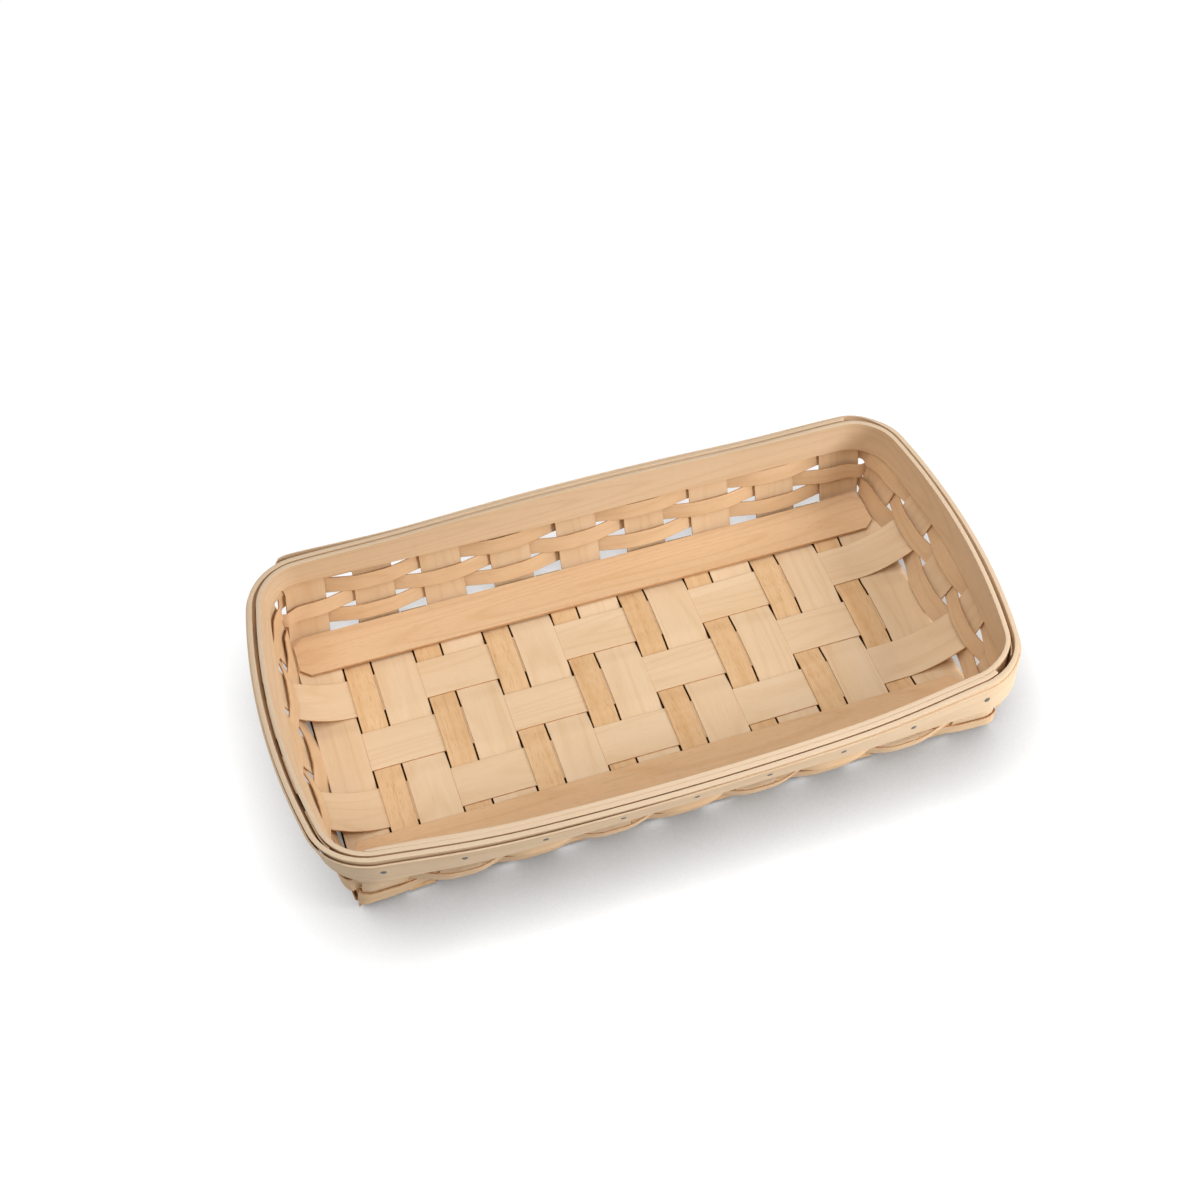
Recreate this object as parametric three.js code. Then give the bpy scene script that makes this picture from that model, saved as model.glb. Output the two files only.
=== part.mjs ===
// Spice basket: a shallow tray basket woven from thin wooden splints.
// Wide cross splints and lengthwise splints cross in the base and turn up as the stakes of the walls.
// Narrow fillers close the base, weavers go round the stakes, and lapped bands hold the stake tops.
// Millimetres, +X along the basket, +Y across it towards the far side, +Z up.
// The origin is on the surface that the basket stands on, under its middle.

import * as THREE from 'three';

// Splints of the base
const wideCount = 9;
const wideWidth = 19.4;
const fillerWidth = 12;
const splintGap = 0.8; // between a wide splint and the filler beside it
const rowCount = 5;
const rowWidth = 20.6; // a lengthwise splint
const rowGap = 9.5; // between two lengthwise splints
const splintThickness = 0.7;
const crossingEase = 0.6; // a splint stays level this far past the edge that it crosses

// Boards on the base, along its two long sides
const boardWidth = 24.2;
const boardThickness = 1.6;
const boardClip = 4.5; // the cut-off corners
const boardEndInset = 0.7; // from the outer edge of the last wide splint

// Walls: the middle surface of the stakes, from the foot to the rim
const bendRadius = 1.6; // where a splint turns up
const footClear = 0.4; // from the edge of the base to where that bend may start
const endFlare = 15.4; // how far the middle of an end wall leans out
const sideFlare = 13.7; // how far the middle of a side wall leans out, evenly from foot to rim
const endKnee = 0.91; // share of an end's lean and bow that is below the rim bands
const sideBowRadius = 1400; // the rim seen from above
const endBowRadius = 310;
const sideKnee = 0.4; // share of a side's bow that is below the rim bands
const rimCornerRadius = 24;
const footCornerRadius = 3.5;
const sweepLength = 28; // where a lengthwise splint ends over a wide one, it climbs to the wall over this
const sweepShare = 0.85; // and meets the wall at this share of the lowest weaver's width

// Weavers
const weaverCount = 3;
const weaverWidth = 8.5;
const weaverThickness = 0.6;
const weaverGap = 0.35;
const weaverLift = 0.3; // from the top of the base's weave to the lowest weaver

// Rim bands
const bandHeight = 15.8;
const bandThickness = 2.1;
const bandEndClip = 5; // cut-off corners at the loose end of the outer band
const bandSpring = 3.5; // how far that end springs away
const springLength = 85; // the stretch that springs
const facingHeight = 14.5;
const facingThickness = 0.9;
const facingDrop = 2.5; // below the top of the rim
const stakeDrop = 3; // stake tops below the top of the rim

// Space left between pieces that touch
const clearance = 0.3;

// Sizes that follow from the ones above
const columnPitch = wideWidth + fillerWidth + 2 * splintGap;
const rowPitch = rowWidth + rowGap;
const baseHalfLength = ((wideCount - 1) * columnPitch + wideWidth) / 2;
const baseHalfWidth = ((rowCount - 1) * rowPitch + rowWidth) / 2;
const lowLevel = splintThickness / 2;
const rowLevel = lowLevel + splintThickness + clearance;
const highLevel = rowLevel + splintThickness + clearance;
const weaveTop = highLevel + splintThickness / 2;
const boardBottom = weaveTop + clearance;
const footHeight = weaveTop;
const footSpread = bendRadius + footClear;
const weaverFoot = weaveTop + weaverLift;
const weaverPitch = weaverWidth + weaverGap;
const sweepTop = weaverFoot + sweepShare * weaverWidth;
const bandBottom = weaverFoot + weaverCount * weaverPitch;
const rimTop = bandBottom + bandHeight;
const facingTop = rimTop - facingDrop;
const stakeTop = rimTop - stakeDrop;
const kneeHeight = bandBottom - weaverGap / 2;
const footHalfLength = baseHalfLength + footSpread;
const footHalfWidth = baseHalfWidth + footSpread;

// Offsets from the middle surface of the stakes, outwards
const weaveOffset = splintThickness / 2 + clearance + weaverThickness / 2;
const weaverLap = weaverThickness + clearance;
const bandOffset = splintThickness / 2 + clearance + bandThickness / 2;
const bandLap = bandThickness + clearance;
const facingOffset = bandOffset + bandThickness / 2 + clearance + facingThickness / 2;

// Steps of the curved stretches
const bendSteps = 4;
const sweepSteps = 4;
const wallSteps = 3; // up to the knee
const sideSteps = 18;
const endSteps = 12;
const cornerSteps = 7;
const weaverCornerSteps = 6;
const weaverCrossSteps = 3;

// Places along the bands, as shares of the stretch that they are on
const lapIntoCorner = 0.2; // a lap ends here in the left corner
const facingStart = 0.4; // and the facing band starts here
const springStart = 1 - springLength / (2 * baseHalfLength); // of the lap along the side

const { lerp, smoothstep } = THREE.MathUtils;

const finish = {
  wide: { color: 0xe4c9a3, roughness: 0.62, metalness: 0 },
  filler: { color: 0xdeb57f, roughness: 0.62, metalness: 0 },
  row: { color: 0xe2c49c, roughness: 0.62, metalness: 0 },
  board: { color: 0xddb27f, roughness: 0.58, metalness: 0 },
  weaver: { color: 0xd6ad80, roughness: 0.62, metalness: 0 },
  band: { color: 0xdcbb93, roughness: 0.6, metalness: 0 },
};

const base = new THREE.Group();
const wall = new THREE.Group();
const rim = new THREE.Group();
const basket = new THREE.Group();
basket.add(base, wall, rim);

function addPiece(group, name, geometry, kind) {
  const piece = new THREE.Mesh(geometry, new THREE.MeshStandardMaterial(finish[kind]));
  piece.name = name;
  group.add(piece);
  return piece;
}

// How far the wall has come at a height, as shares: end for the ends' lean and bow and for the corners'
// rounding, side for the sides' lean and bow for the sides' bow. All but the sides' lean have a knee
// under the bands.
function wallRise(height) {
  const up = (height - footHeight) / (kneeHeight - footHeight);
  return up > 1 ? bandRise(height) : { end: endKnee * up, side: evenRise(height), bow: sideKnee * up };
}

// The same for the bands, which are straight from edge to edge
function bandRise(height) {
  const up = (height - kneeHeight) / (rimTop - kneeHeight);
  return { end: lerp(endKnee, 1, up), side: evenRise(height), bow: lerp(sideKnee, 1, up) };
}

const evenRise = (height) => (height - footHeight) / (rimTop - footHeight);

// One level of the wall seen from above. A quarter of it is half a side arc, a corner arc and half an
// end arc, all tangent. A place on it is named by the angle of its outward normal from +X.
const leastBow = 1e-3; // the foot's arcs are nearly straight
class WallLevel {
  constructor({ end, side, bow }) {
    const halfLength = footHalfLength + endFlare * end;
    const halfWidth = footHalfWidth + sideFlare * side;
    this.sideRadius = sideBowRadius / Math.max(bow, leastBow);
    this.endRadius = endBowRadius / Math.max(end, leastBow);
    this.cornerRadius = lerp(footCornerRadius, rimCornerRadius, end);
    this.sideCentre = halfWidth - this.sideRadius; // on the Y axis
    this.endCentre = halfLength - this.endRadius; // on the X axis

    // The corner arc's centre is where two circles round the other arcs' centres meet
    const fromSide = this.sideRadius - this.cornerRadius;
    const fromEnd = this.endRadius - this.cornerRadius;
    const apart = Math.hypot(this.endCentre, this.sideCentre);
    const along = (fromSide ** 2 - fromEnd ** 2 + apart ** 2) / (2 * apart);
    const across = Math.sqrt(fromSide ** 2 - along ** 2);
    const ux = this.endCentre / apart;
    const uy = -this.sideCentre / apart;
    this.cornerX = ux * along + uy * across;
    this.cornerY = this.sideCentre + uy * along - ux * across;

    this.sideAngle = Math.atan2(this.cornerY - this.sideCentre, this.cornerX);
    this.endAngle = Math.atan2(this.cornerY, this.cornerX - this.endCentre);
    this.sideReach = this.sideRadius * Math.cos(this.sideAngle);
    this.endReach = this.endRadius * Math.sin(this.endAngle);
  }

  angleAtX(x) {
    if (x <= this.sideReach) {
      return Math.acos(x / this.sideRadius);
    }
    return Math.acos((x - this.cornerX) / this.cornerRadius);
  }

  angleAtY(y) {
    if (y <= this.endReach) {
      return Math.asin(y / this.endRadius);
    }
    return Math.asin((y - this.cornerY) / this.cornerRadius);
  }

  // The point at a normal's angle, moved outwards by an offset
  at(angle, offset = 0) {
    const cos = Math.cos(angle);
    const sin = Math.sin(angle);
    if (angle >= this.sideAngle) {
      const radius = this.sideRadius + offset;
      return new THREE.Vector2(radius * cos, this.sideCentre + radius * sin);
    }
    if (angle <= this.endAngle) {
      const radius = this.endRadius + offset;
      return new THREE.Vector2(this.endCentre + radius * cos, radius * sin);
    }
    const radius = this.cornerRadius + offset;
    return new THREE.Vector2(this.cornerX + radius * cos, this.cornerY + radius * sin);
  }
}

// A place on the wall: signs of its quarter, and its normal's angle at any level
const sidePlace = (x, far) => ({
  signX: x < 0 ? -1 : 1,
  signY: far,
  angle: (level) => level.angleAtX(Math.abs(x)),
});
const endPlace = (y, right) => ({
  signX: right,
  signY: y < 0 ? -1 : 1,
  angle: (level) => level.angleAtY(Math.abs(y)),
});

function wallPoint(place, height, offset, rise) {
  const level = new WallLevel(rise(height));
  const point = level.at(place.angle(level), offset);
  return new THREE.Vector3(place.signX * point.x, place.signY * point.y, height);
}

// A closed body through sections. A section is the points of one face, then those of the other face
// in the opposite order, so that each end closes with a row of quads between the two faces. Where the
// faces twist, both split along the same diagonal, so the body stays equally thick.
function loft(sections) {
  const size = sections[0].length;
  const half = size / 2;
  const index = [];
  const quad = (a, b, c, d) => index.push(a, b, c, a, c, d);
  for (let i = 0; i + 1 < sections.length; i += 1) {
    const here = i * size;
    const next = here + size;
    for (let k = 0; k < size; k += 1) {
      const after = (k + 1) % size;
      if (k < half) {
        quad(here + k, here + after, next + after, next + k);
      } else {
        quad(here + after, next + after, next + k, here + k);
      }
    }
  }
  const last = (sections.length - 1) * size;
  for (let k = 0; k + 1 < half; k += 1) {
    const back = size - 1 - k;
    quad(k, back, back - 1, k + 1);
    quad(last + k, last + k + 1, last + back - 1, last + back);
  }
  const geometry = new THREE.BufferGeometry().setFromPoints(sections.flat());
  geometry.setIndex(signedVolume(sections.flat(), index) < 0 ? index.reverse() : index);
  geometry.computeVertexNormals();
  return geometry;
}

function signedVolume(points, index) {
  let volume = 0;
  for (let i = 0; i < index.length; i += 3) {
    const [a, b, c] = [points[index[i]], points[index[i + 1]], points[index[i + 2]]];
    volume += a.dot(new THREE.Vector3().crossVectors(b, c)) / 6;
  }
  return volume;
}

// The line at a distance to the left of a line of points, with mitred corners
function offsetLine(line, distance) {
  const normals = line.slice(1).map((point, i) => {
    const along = point.clone().sub(line[i]).normalize();
    return new THREE.Vector2(-along.y, along.x);
  });
  return line.map((point, i) => {
    const before = normals[Math.max(i - 1, 0)];
    const after = normals[Math.min(i, normals.length - 1)];
    const mitre = before.clone().add(after).divideScalar(1 + before.dot(after));
    return point.clone().addScaledVector(mitre, distance);
  });
}

// Where a splint's point lies, from its place across the splint and its place along and above the base
const acrossX = (s, point) => new THREE.Vector3(s, point.x, point.y);
const acrossY = (s, point) => new THREE.Vector3(point.x, s, point.y);

// A flat splint: lineAt(s) is its middle line, along and up, at a place across it
function splint(width, shares, lineAt, place) {
  const across = shares.map((share) => width * (share - 0.5));
  const upper = across.map((s) => offsetLine(lineAt(s), splintThickness / 2));
  const lower = across.map((s) => offsetLine(lineAt(s), -splintThickness / 2));
  const sections = upper[0].map((_, i) => {
    const above = across.map((s, k) => place(s, upper[k][i]));
    const below = across.map((s, k) => place(s, lower[k][i]));
    return [...above, ...below.reverse()];
  });
  return loft(sections);
}

// The middle line of the wall, out and up. reach(level) is how far out the wall stands there.
const wallLine = (reach) => (z) => new THREE.Vector2(reach(new WallLevel(wallRise(z))), z);

// A stake's line from the edge of the base, at the splint's height there, to its top
function stakeLine(height, reach) {
  const wallAt = wallLine(reach);
  const foot = wallAt(footHeight);
  const straight = Array.from({ length: wallSteps }, (_, k) => {
    return wallAt(lerp(footHeight, kneeHeight, (k + 1) / wallSteps));
  });
  const lean = straight[0].clone().sub(foot).normalize();
  const turn = Math.atan2(lean.y, lean.x);
  const meet = foot.x + ((height - footHeight) * lean.x) / lean.y;
  const bendStart = meet - bendRadius * Math.tan(turn / 2);
  const bend = Array.from({ length: bendSteps + 1 }, (_, i) => {
    const angle = (turn * i) / bendSteps;
    return new THREE.Vector2(
      bendStart + bendRadius * Math.sin(angle),
      height + bendRadius * (1 - Math.cos(angle)),
    );
  });
  return [...bend, ...straight, wallAt(stakeTop)];
}

// The line of a stake that leaves the base early and climbs in a curve to the wall
function sweptStakeLine(height, reach) {
  const wallAt = wallLine(reach);
  const meet = wallAt(sweepTop);
  const sweep = Array.from({ length: sweepSteps + 1 }, (_, k) => {
    const share = k / sweepSteps;
    return new THREE.Vector2(meet.x - sweepLength * (1 - share), lerp(height, meet.y, share ** 2));
  });
  return [...sweep, wallAt(kneeHeight), wallAt(stakeTop)];
}

const mirrored = (line) => line.map((point) => new THREE.Vector2(-point.x, point.y)).reverse();

// Positions of the splints, from the left and from the far side
const columnX = (i) => (i - (wideCount - 1) / 2) * columnPitch;
const rowY = (j) => ((rowCount - 1) / 2 - j) * rowPitch;
const crossesOver = (i, j) => (i + j) % 2 === 0;
const crossLevel = (i, j) => (crossesOver(i, j) ? highLevel : lowLevel);

// A cross splint's line over and under the lengthwise splints, from the near edge to the far one
function crossLine(column) {
  const reach = rowWidth / 2 + crossingEase;
  const line = [];
  for (let j = rowCount - 1; j >= 0; j -= 1) {
    line.push(new THREE.Vector2(rowY(j) - reach, crossLevel(column, j)));
    line.push(new THREE.Vector2(rowY(j) + reach, crossLevel(column, j)));
  }
  return line;
}

// Shares of a splint's width where its surface is found. A splint beside a corner follows the corner's
// curve, so it has more of them towards the corner.
const plainShares = [0, 0.5, 1];
const cornerShares = [0, 0.35, 0.6, 0.75, 0.88, 1];
const fromOtherEdge = (shares) => shares.map((share) => 1 - share).reverse();
function sharesAcross(index, count, firstIsPositive) {
  if (index > 0 && index < count - 1) {
    return plainShares;
  }
  return (index === 0) === firstIsPositive ? cornerShares : fromOtherEdge(cornerShares);
}
const wideShares = (i) => sharesAcross(i, wideCount, false);
const rowShares = (j) => sharesAcross(j, rowCount, true);

// Wide cross splints, which turn up as the stakes of the two sides
for (let i = 0; i < wideCount; i += 1) {
  const level = crossLine(i).slice(1, -1);
  const lineAt = (s) => {
    const x = Math.abs(columnX(i) + s);
    const reach = (wallLevel) => wallLevel.at(wallLevel.angleAtX(x)).y;
    const stakeAt = (j) => stakeLine(crossLevel(i, j), reach);
    return [...mirrored(stakeAt(rowCount - 1)), ...level, ...stakeAt(0)];
  };
  const geometry = splint(wideWidth, wideShares(i), lineAt, acrossX);
  addPiece(base, `wide_splint_${i + 1}`, geometry, 'wide').position.x = columnX(i);
}

// Filler splints, which go over and under with the wide splint on their right
for (let i = 0; i + 1 < wideCount; i += 1) {
  const geometry = splint(fillerWidth, [0, 1], () => crossLine(i + 1), acrossX);
  const filler = addPiece(base, `filler_splint_${i + 1}`, geometry, 'filler');
  filler.position.x = (columnX(i) + columnX(i + 1)) / 2;
}

// Lengthwise splints, which lie level in the base and turn up as the stakes of the two ends
for (let j = 0; j < rowCount; j += 1) {
  const lineAt = (s) => {
    const y = Math.abs(rowY(j) + s);
    const reach = (wallLevel) => wallLevel.at(wallLevel.angleAtY(y)).x;
    const stakeAt = (i) => (crossesOver(i, j) ? stakeLine : sweptStakeLine)(rowLevel, reach);
    return [...mirrored(stakeAt(0)), ...stakeAt(wideCount - 1)];
  };
  const geometry = splint(rowWidth, rowShares(j), lineAt, acrossY);
  addPiece(base, `lengthwise_splint_${j + 1}`, geometry, 'row').position.y = rowY(j);
}

// Side boards: flat strips with clipped corners, lying on the weave at the edges of the base
for (const [name, far] of [['far_side_board', 1], ['near_side_board', -1]]) {
  const halfLength = baseHalfLength - boardEndInset;
  const halfWidth = boardWidth / 2;
  const outline = new THREE.Shape([
    new THREE.Vector2(-halfLength + boardClip, -halfWidth),
    new THREE.Vector2(halfLength - boardClip, -halfWidth),
    new THREE.Vector2(halfLength, -halfWidth + boardClip),
    new THREE.Vector2(halfLength, halfWidth - boardClip),
    new THREE.Vector2(halfLength - boardClip, halfWidth),
    new THREE.Vector2(-halfLength + boardClip, halfWidth),
    new THREE.Vector2(-halfLength, halfWidth - boardClip),
    new THREE.Vector2(-halfLength, -halfWidth + boardClip),
  ]);
  const geometry = new THREE.ExtrudeGeometry(outline, { depth: boardThickness, bevelEnabled: false });
  const board = addPiece(base, name, geometry, 'board');
  board.position.set(0, far * (baseHalfWidth - halfWidth), boardBottom);
}

// A strip on edge round the wall, through places with offsets and its lower and upper edge
function strip(stations, thickness, rise) {
  return loft(stations.map(({ place, offset, bottom, top }) => [
    wallPoint(place, bottom, offset + thickness / 2, rise),
    wallPoint(place, top, offset + thickness / 2, rise),
    wallPoint(place, top, offset - thickness / 2, rise),
    wallPoint(place, bottom, offset - thickness / 2, rise),
  ]));
}

// The stakes in order round the basket: right end, far side, left end, near side.
// travel is the direction along the wall's own axis.
const endStake = (j, sign) => (
  { wall: 'end', sign, middle: rowY(j), width: rowWidth, shares: rowShares(j), travel: sign }
);
const sideStake = (i, sign) => (
  { wall: 'side', sign, middle: columnX(i), width: wideWidth, shares: wideShares(i), travel: -sign }
);
const rows = Array.from({ length: rowCount }, (_, j) => j);
const columns = Array.from({ length: wideCount }, (_, i) => i);
const stakes = [
  ...rows.toReversed().map((j) => endStake(j, 1)),
  ...columns.toReversed().map((i) => sideStake(i, 1)),
  ...rows.map((j) => endStake(j, -1)),
  ...columns.map((i) => sideStake(i, -1)),
];

const stakePlace = (stake, at) => {
  const placeAt = stake.wall === 'side' ? sidePlace : endPlace;
  return placeAt(at, stake.sign);
};
const pastStake = (stake, way) => {
  return stake.middle + way * stake.travel * (stake.width / 2 + crossingEase);
};

// Places between two neighbouring stakes, with the share of the way from one to the next
function betweenStakes(from, to) {
  const start = pastStake(from, 1);
  const end = pastStake(to, -1);
  if (from.wall === to.wall) {
    return Array.from({ length: weaverCrossSteps - 1 }, (_, k) => {
      const share = (k + 1) / weaverCrossSteps;
      return { share, place: stakePlace(from, lerp(start, end, share)) };
    });
  }
  const first = stakePlace(from, start);
  const last = stakePlace(to, end);
  return Array.from({ length: weaverCornerSteps - 1 }, (_, k) => {
    const share = (k + 1) / weaverCornerSteps;
    const angle = (level) => lerp(first.angle(level), last.angle(level), share);
    return { share, place: { signX: first.signX, signY: first.signY, angle } };
  });
}

// Weavers: each goes round once, in front of one stake and behind the next, and its end laps over its
// start outside a stake in the middle of the far side. The lowest one is outside the stakes that bend up
// from the base's upper level.
const firstFarStake = rowCount;
const middleFarStake = firstFarStake + Math.floor(wideCount / 2);
const firstFarSide = crossesOver(wideCount - 1, 0) ? 1 : -1;
for (let row = 0; row < weaverCount; row += 1) {
  const bottom = weaverFoot + row * weaverPitch;
  const top = bottom + weaverWidth;
  const side = (n) => firstFarSide * (-1) ** (n - firstFarStake + row);
  const first = side(middleFarStake) > 0 ? middleFarStake : middleFarStake + 1;
  const stations = [];
  const add = (place, offset) => stations.push({ place, offset, bottom, top });

  for (let step = 0; step <= stakes.length; step += 1) {
    const n = first + step;
    const stake = stakes[n % stakes.length];
    const next = stakes[(n + 1) % stakes.length];
    const offsetAt = (k) => side(n + k) * weaveOffset + (step + k === stakes.length ? weaverLap : 0);
    if (step > 0) {
      add(stakePlace(stake, pastStake(stake, -1)), offsetAt(0));
    }
    const inOrder = stake.travel > 0 ? stake.shares : stake.shares.toReversed();
    for (const share of inOrder) {
      add(stakePlace(stake, stake.middle + stake.width * (share - 0.5)), offsetAt(0));
    }
    add(stakePlace(stake, pastStake(stake, 1)), offsetAt(0));
    if (step < stakes.length) {
      for (const { share, place } of betweenStakes(stake, next)) {
        add(place, lerp(offsetAt(0), offsetAt(1), smoothstep(share, 0, 1)));
      }
    }
  }
  addPiece(wall, `weaver_${row + 1}`, strip(stations, weaverThickness, wallRise), 'weaver');
}

// Places round the rim for a band that starts at the right end of one long side, goes left along it,
// round the left end, back along the other side, round the right end, and left again over its start
function bandPlaces(own) {
  const places = [];
  const along = (run, steps, placeAt) => {
    for (let k = 0; k < steps; k += 1) {
      places.push({ run, share: k / steps, ...placeAt(k / steps) });
    }
  };
  const side = (far, travel) => (share) => {
    const x = travel * (2 * share - 1);
    return {
      signX: x < 0 ? -1 : 1,
      signY: far,
      angle: (level) => level.angleAtX(Math.abs(x) * level.sideReach),
    };
  };
  const end = (right, travel) => (share) => {
    const y = travel * (2 * share - 1);
    return {
      signX: right,
      signY: y < 0 ? -1 : 1,
      angle: (level) => level.angleAtY(Math.abs(y) * level.endReach),
    };
  };
  const corner = (right, far, towardsEnd) => (share) => ({
    signX: right,
    signY: far,
    angle: (level) => lerp(level.sideAngle, level.endAngle, towardsEnd ? share : 1 - share),
  });
  along('own side', sideSteps, side(own, -1));
  along('left corner', cornerSteps, corner(-1, own, true));
  along('left end', endSteps, end(-1, -own));
  along('corner', cornerSteps, corner(-1, -own, false));
  along('other side', sideSteps, side(-own, 1));
  along('corner', cornerSteps, corner(1, -own, true));
  along('right end', endSteps, end(1, own));
  along('last corner', cornerSteps, corner(1, own, false));
  along('lap', sideSteps, side(own, -1));
  places.push({ run: 'lap', share: 1, ...side(own, -1)(1) });
  places.push({ run: 'lap', share: 1, ...corner(-1, own, true)(lapIntoCorner) });
  return places;
}

// How far a band has moved from its first layer to its lap: it moves in the last corner
function lapShare({ run, share }) {
  if (run === 'last corner') {
    return smoothstep(share, 0, 1);
  }
  return run === 'lap' ? 1 : 0;
}

// The loose end of the outer band springs away over its last stretch
const springAt = (share) => bandSpring * Math.max((share - springStart) / (1 - springStart), 0) ** 2;

// Inner band, lapped along the near side
addPiece(rim, 'inner_rim_band', strip(
  bandPlaces(-1).map((place) => ({
    place,
    offset: -bandOffset - bandLap * lapShare(place),
    bottom: bandBottom,
    top: rimTop,
  })),
  bandThickness,
  bandRise,
), 'band');

// Outer band, lapped along the far side, with clipped corners at its loose end
const outerStations = bandPlaces(1).map((place) => ({
  place,
  offset: bandOffset + bandLap * lapShare(place) + (place.run === 'lap' ? springAt(place.share) : 0),
  bottom: bandBottom,
  top: rimTop,
}));
const looseEnd = outerStations[outerStations.length - 1];
looseEnd.bottom += bandEndClip;
looseEnd.top -= bandEndClip;
addPiece(rim, 'outer_rim_band', strip(outerStations, bandThickness, bandRise), 'band');

// Facing band, outside the outer band, from the far left corner round to the far side, where it stops
// short of the outer band's loose end
const facingPlaces = bandPlaces(1).filter(({ run, share }) => {
  const before = run === 'own side' || (run === 'left corner' && share < facingStart);
  return !before && !(run === 'lap' && share > springStart);
});
addPiece(rim, 'facing_band', strip(
  facingPlaces.map((place) => ({
    place,
    offset: facingOffset + bandLap * lapShare(place),
    bottom: facingTop - facingHeight,
    top: facingTop,
  })),
  facingThickness,
  bandRise,
), 'band');

export default basket;
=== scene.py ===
"""Spice basket: a shallow tray woven from thin wooden splints, with leaning walls and a lapped rim of bands.

The formulas work in millimetres and the meshes are written in metres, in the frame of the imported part:
+X along the basket, +Y across it towards the far side, +Z up, the origin under the middle of the base.
"""

import math

import bpy
import numpy as np
from mathutils import Matrix


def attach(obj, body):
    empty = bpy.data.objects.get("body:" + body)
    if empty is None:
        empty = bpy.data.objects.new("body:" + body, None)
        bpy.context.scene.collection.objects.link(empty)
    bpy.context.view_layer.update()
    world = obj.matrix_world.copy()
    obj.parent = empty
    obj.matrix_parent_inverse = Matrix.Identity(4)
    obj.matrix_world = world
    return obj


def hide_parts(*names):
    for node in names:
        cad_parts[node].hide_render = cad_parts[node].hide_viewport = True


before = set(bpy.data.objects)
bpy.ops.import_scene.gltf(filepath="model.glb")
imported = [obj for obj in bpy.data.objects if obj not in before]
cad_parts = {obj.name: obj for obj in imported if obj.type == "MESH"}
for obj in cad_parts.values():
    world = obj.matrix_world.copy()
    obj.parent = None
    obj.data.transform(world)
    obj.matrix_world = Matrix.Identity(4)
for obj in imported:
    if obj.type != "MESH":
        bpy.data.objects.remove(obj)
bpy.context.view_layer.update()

MM = 0.001

# Splints of the base
WIDE_COUNT = 9
WIDE_WIDTH = 19.4
FILLER_WIDTH = 12.0
LAST_SPLINT_EXTRA = 2.5
EXTRA_FADE_START = 4.0
EXTRA_FADE = 8.0
SPLINT_GAP = 0.8
ROW_COUNT = 5
ROW_WIDTH = 20.6
ROW_GAP = 9.5
ROW_SHIFT = 1.3
ROW_SKEWS = (0.0, 1.2, 0.0, 1.8, 0.0)
SKEW_START = 40.0
SKEW_RUN = 100.0
SPLINT_THICKNESS = 0.6
LAYER_JOINT = 0.02
WEAVE_TOP = 2.7
CROSSING_EASE = 0.6
ROW_SWAY = 0.12

# Boards on the base
BOARD_WIDTH = 24.2
BOARD_THICKNESS = 1.6
BOARD_CLIP = 4.5
BOARD_TAIL = (0.0, 0.15, 0.5, BOARD_CLIP / 2, BOARD_CLIP, BOARD_CLIP + 0.3)
BOARD_PLAIN_START = 6.0
BOARD_END_INSET = 0.7
FAR_BOARD_TAPER = (0.91, 0.93)
NEAR_BOARD_TAPER = (1.12, 1.08)

# Walls: the middle surface of the stakes
BEND_RADIUS = 1.6
FOOT_CLEAR = 0.4
END_FLARE = 15.4
SIDE_FLARE = 13.7
END_KNEE = 0.91
SIDE_BOW_RADIUS = 1400.0
END_BOW_RADIUS = 310.0
SIDE_KNEE = 0.25
RIM_CORNER_RADIUS = 24.0
FOOT_CORNER_RADIUS = 3.5
SWEEP_LENGTH = 28.0
SWEEP_SHARE = 0.85
LEAST_BOW = 1e-3

# Lap places count 12 to a turn round the wall, clockwise from the middle of the far side
TURN = 12.0
HALF_TURN = TURN / 2
QUARTER = TURN / 4
RIGHT_END = QUARTER
NEAR_SIDE = HALF_TURN
LEFT_END = 3 * QUARTER

# Weavers. Pairs give a lap place, or a distance from one, and the run of the change there
WEAVER_COUNT = 3
WEAVER_WIDTH = 7.6
WEAVER_THICKNESS = 0.6
WEAVER_GAP = 0.35
WEAVER_LIFT = 3.0
WEAVER_SWING = 1.9
NEAR_SWINGS = (2.4, 4.5, 2.1)
NEAR_CORNER_SWING = 1.1
TOP_FLARE = 3.0
NEAR_SAG = 1.2
LEFT_SAG = 5.5
RIGHT_SAG = 2.4
WEAVER_FLAT = 0.1
WEAVER_LEAD = 7.0
NEAR_CORNER_FROM = 0.9
OVER_START = (11.7, 0.2)
END_SAG_REACH = (2.1, 0.4)
NEAR_SAG_REACH = (1.1, 0.3)

# Rim bands, with pairs as for the weavers
BAND_HEIGHT = 15.8
BAND_THICKNESS = 2.1
BAND_END_CLIP = 5.0
BAND_SPRING = 1.9
BAND_JOINT = 0.1
OUTER_JOINT = 0.15
END_GAP = 0.7
INNER_END_GAP = 0.4
INNER_END_SHARE = 0.25
CORNER_RISE = 6.0
OUTER_LAP_SHARE = 0.22
FACING_SLACK = 0.6
FACING_JOINT = 0.05
SPRING_LENGTH = 85.0
FACING_HEIGHT = 14.5
FACING_THICKNESS = 0.9
FACING_DROP = 2.5
STAKE_DROP = 3.0
LAP_INTO_CORNER = 0.2
INNER_FIRST = 4.75
OUTER_FIRST = 1.06
OUTER_LAST = 13.3
FACING_START = 0.4
INNER_SHAVED = (18.85, 0.35)
INNER_MOVES_IN = (15.9, 0.8)
INNER_RISES = (9.4, 0.8)
INNER_SINKS = (12.0, 1.5)
OUTER_SHAVED = (10.1, 0.8)
OUTER_MOVES_OUT = (10.4, 0.55)
RIGHT_GAP_CLOSES = (9.6, 1.3)
FACING_TIGHTENS = (6.3, 0.8)
END_BEGINS = (1.2, 0.9)

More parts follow.
